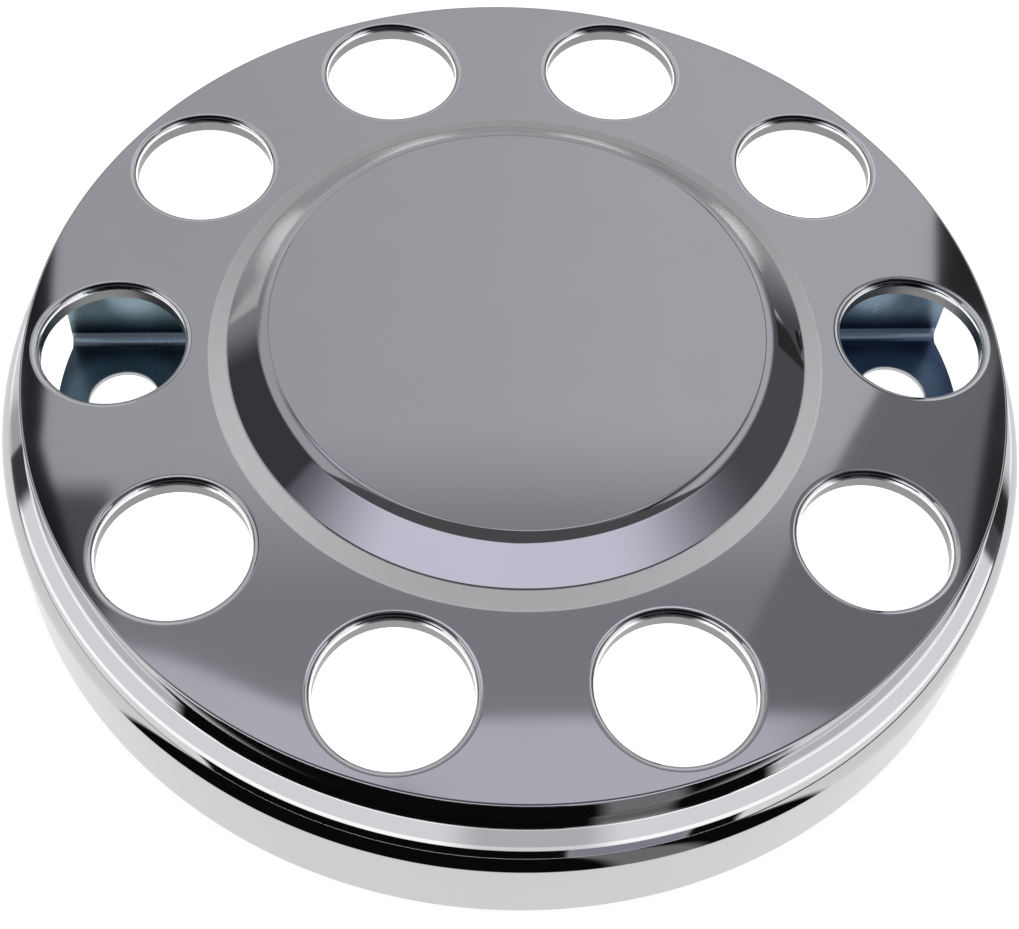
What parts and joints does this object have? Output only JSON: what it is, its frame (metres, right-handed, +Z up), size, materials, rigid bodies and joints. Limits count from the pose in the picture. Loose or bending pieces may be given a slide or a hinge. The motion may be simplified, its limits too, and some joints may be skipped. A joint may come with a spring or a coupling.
{
  "type": "truck wheel cover",
  "caption": "Polished stainless wheel cover for a truck wheel, with a raised dome, collared nut holes, a stepped rim and two bent brackets that bolt to the wheel studs",
  "frame": {"origin": "centre of the skirt's lower edge, on the surface that it stands on", "axes": "+Z up through the dome, X through the two bracket stud holes"},
  "size_m": [0.432, 0.432, 0.0854],
  "materials": {
    "polished_stainless": "mirror-polished stainless sheet",
    "zinc_plate": "zinc-plated steel with a bluish passivation",
    "stainless_fixing": "plain stainless fasteners"
  },
  "bodies": {
    "root": {"cover": "polished_stainless", "bracket_left": "zinc_plate", "bracket_right": "zinc_plate", "weld_studs": "stainless_fixing", "flange_nuts": "stainless_fixing"}
  },
  "joints": []
}
